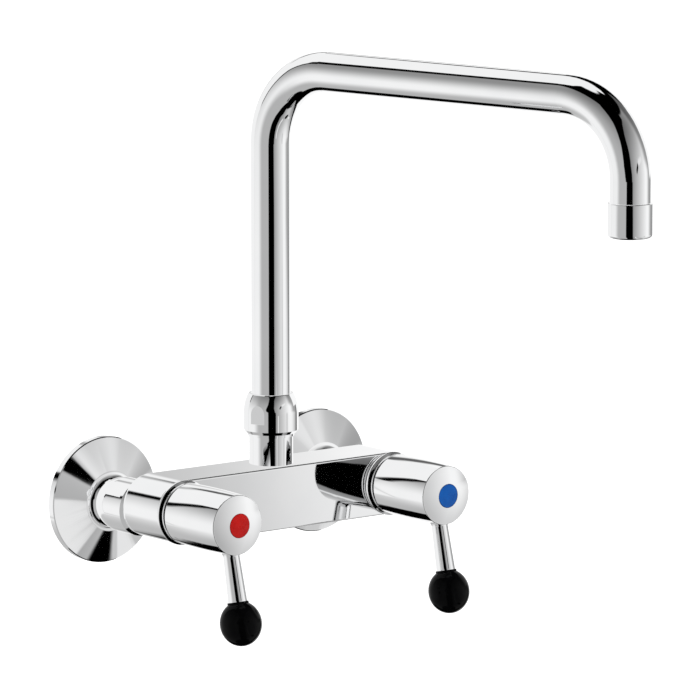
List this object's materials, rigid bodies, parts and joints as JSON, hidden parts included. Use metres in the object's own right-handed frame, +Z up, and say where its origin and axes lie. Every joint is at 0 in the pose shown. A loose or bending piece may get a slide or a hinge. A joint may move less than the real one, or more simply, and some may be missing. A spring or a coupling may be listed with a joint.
{
  "type": "wall-mounted mixer tap",
  "caption": "Wall-mounted mixer tap with a tall swivel spout, domed barrel handles with black-tipped levers, and hot and cold index buttons.",
  "frame": {"origin": "on the finished wall, midway between the axes of the two supply connections", "axes": "+X towards the cold side, the user's right; +Y into the wall; +Z up"},
  "size_m": [0.221, 0.3376, 0.3172],
  "materials": {
    "chrome": "polished chrome plate",
    "brass": "machined brass",
    "ceramic": "ground alumina ceramic",
    "rubber": "black rubber",
    "nylon": "white nylon",
    "black_plastic": "gloss black plastic",
    "aerator_plastic": "grey plastic",
    "steel": "plain steel",
    "red_index": "gloss red plastic",
    "blue_index": "gloss blue plastic"
  },
  "bodies": {
    "tap_body": {"mixer_body": "chrome", "spout_nipple": "chrome", "spout_nut": "chrome", "spout_slip_ring": "nylon", "wall_flange_hot": "chrome", "wall_union_hot": "brass", "union_nut_hot": "chrome", "inlet_washer_hot": "rubber", "cover_ring_hot": "chrome", "slip_ring_hot": "black_plastic", "headwork_housing_hot": "brass", "seat_seal_hot": "rubber", "fixed_disc_hot": "ceramic", "thrust_washer_hot": "nylon", "wall_flange_cold": "chrome", "wall_union_cold": "brass", "union_nut_cold": "chrome", "inlet_washer_cold": "rubber", "cover_ring_cold": "chrome", "slip_ring_cold": "black_plastic", "headwork_housing_cold": "brass", "seat_seal_cold": "rubber", "fixed_disc_cold": "ceramic", "thrust_washer_cold": "nylon"},
    "spout": {"spout_foot": "brass", "spout_o_rings": "rubber", "spout_tube": "chrome", "aerator_housing": "chrome", "aerator_washer": "rubber", "aerator_diffuser": "nylon", "aerator_insert": "aerator_plastic"},
    "handle_hot": {"turning_disc_hot": "ceramic", "spindle_hot": "brass", "spindle_o_ring_hot": "rubber", "spindle_clip_hot": "steel", "handle_hot": "chrome", "handle_screw_hot": "steel", "index_button_hot": "red_index", "lever_rod_hot": "chrome", "lever_tip_hot": "black_plastic"},
    "handle_cold": {"turning_disc_cold": "ceramic", "spindle_cold": "brass", "spindle_o_ring_cold": "rubber", "spindle_clip_cold": "steel", "handle_cold": "chrome", "handle_screw_cold": "steel", "index_button_cold": "blue_index", "lever_rod_cold": "chrome", "lever_tip_cold": "black_plastic"}
  },
  "joints": [
    {"name": "spout_swivel", "type": "hinge", "parent": "tap_body", "child": "spout", "pos_m": [0, -0.059, 0.0203], "axis": [0, 0, 1], "range_deg": [-102, 78]},
    {"name": "handle_hot_turn", "type": "hinge", "parent": "tap_body", "child": "handle_hot", "pos_m": [-0.073, -0.075, 0.0027], "axis": [0, 1, 0], "range_deg": [0, 90]},
    {"name": "handle_cold_turn", "type": "hinge", "parent": "tap_body", "child": "handle_cold", "pos_m": [0.073, -0.075, 0.0027], "axis": [0, -1, 0], "range_deg": [0, 90]}
  ]
}
